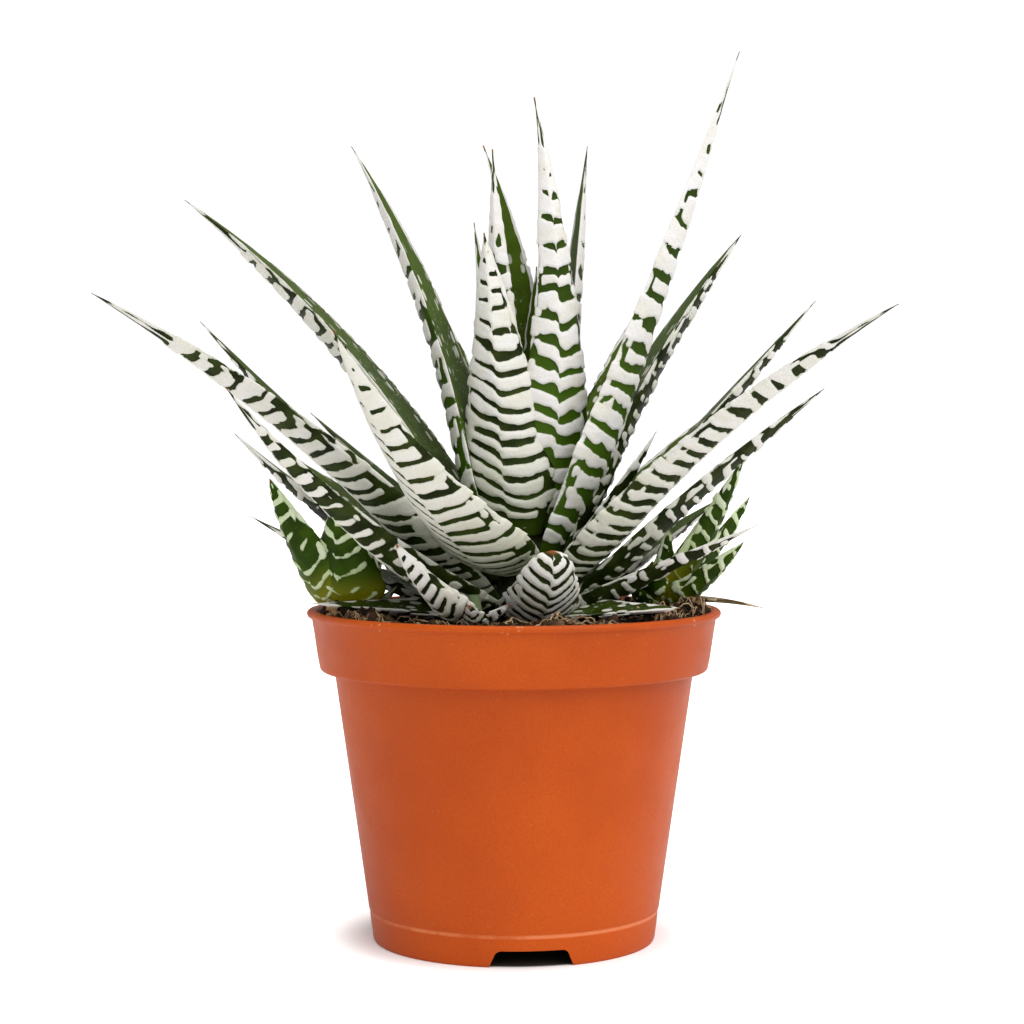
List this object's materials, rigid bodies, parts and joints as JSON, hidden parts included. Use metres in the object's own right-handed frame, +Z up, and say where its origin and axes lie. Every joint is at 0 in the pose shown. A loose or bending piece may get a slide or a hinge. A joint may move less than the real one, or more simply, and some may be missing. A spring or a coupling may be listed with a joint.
{
  "type": "potted haworthia",
  "caption": "Zebra haworthia with stiff, white-banded pointed leaves and small side rosettes, in a round tapered plastic nursery pot filled with soil.",
  "frame": {"origin": "under the middle of the pot, at the height of its foot, which is also the bottom centre of the object's box", "axes": "+Z up, -Y towards the front of the plant, +X to its right"},
  "size_m": [0.1612, 0.1178, 0.18],
  "materials": {
    "pot_plastic": "terracotta-coloured injection-moulded plastic with a fine matte grain",
    "potting_soil": "dark crumbly potting soil with coir fibres",
    "stem_tissue": "pale green firm plant tissue",
    "leaf_tissue": "dark green succulent leaf with raised white bands across its back",
    "young_leaf_tissue": "bright to yellow-green young leaf with thin raised white bands"
  },
  "bodies": {
    "root": {"leaf_back_1": "leaf_tissue", "leaf_back_10": "leaf_tissue", "leaf_back_11": "leaf_tissue", "leaf_back_12": "leaf_tissue", "leaf_back_13": "leaf_tissue", "leaf_back_14": "leaf_tissue", "leaf_back_2": "leaf_tissue", "leaf_back_3": "leaf_tissue", "leaf_back_4": "leaf_tissue", "leaf_back_5": "leaf_tissue", "leaf_back_6": "leaf_tissue", "leaf_back_7": "leaf_tissue", "leaf_back_8": "leaf_tissue", "leaf_back_9": "leaf_tissue", "leaf_heart_1": "leaf_tissue", "leaf_heart_2": "leaf_tissue", "leaf_heart_3": "leaf_tissue", "leaf_heart_4": "leaf_tissue", "leaf_heart_5": "leaf_tissue", "leaf_heart_6": "leaf_tissue", "leaf_inner_1": "leaf_tissue", "leaf_inner_2": "leaf_tissue", "leaf_inner_3": "leaf_tissue", "leaf_inner_4": "leaf_tissue", "leaf_low_1": "leaf_tissue", "leaf_low_2": "leaf_tissue", "leaf_middle_1": "leaf_tissue", "leaf_middle_2": "leaf_tissue", "leaf_middle_3": "leaf_tissue", "leaf_middle_4": "leaf_tissue", "leaf_middle_5": "leaf_tissue", "leaf_outer_1": "leaf_tissue", "leaf_outer_2": "leaf_tissue", "leaf_outer_3": "leaf_tissue", "leaf_outer_4": "leaf_tissue", "leaf_outer_5": "leaf_tissue", "leaf_outer_6": "leaf_tissue", "leaf_outer_7": "leaf_tissue", "leaf_outer_8": "leaf_tissue", "offset_front": "young_leaf_tissue", "offset_left": "young_leaf_tissue", "offset_right": "young_leaf_tissue", "pot": "pot_plastic", "soil": "potting_soil", "stem": "stem_tissue"}
  },
  "joints": []
}
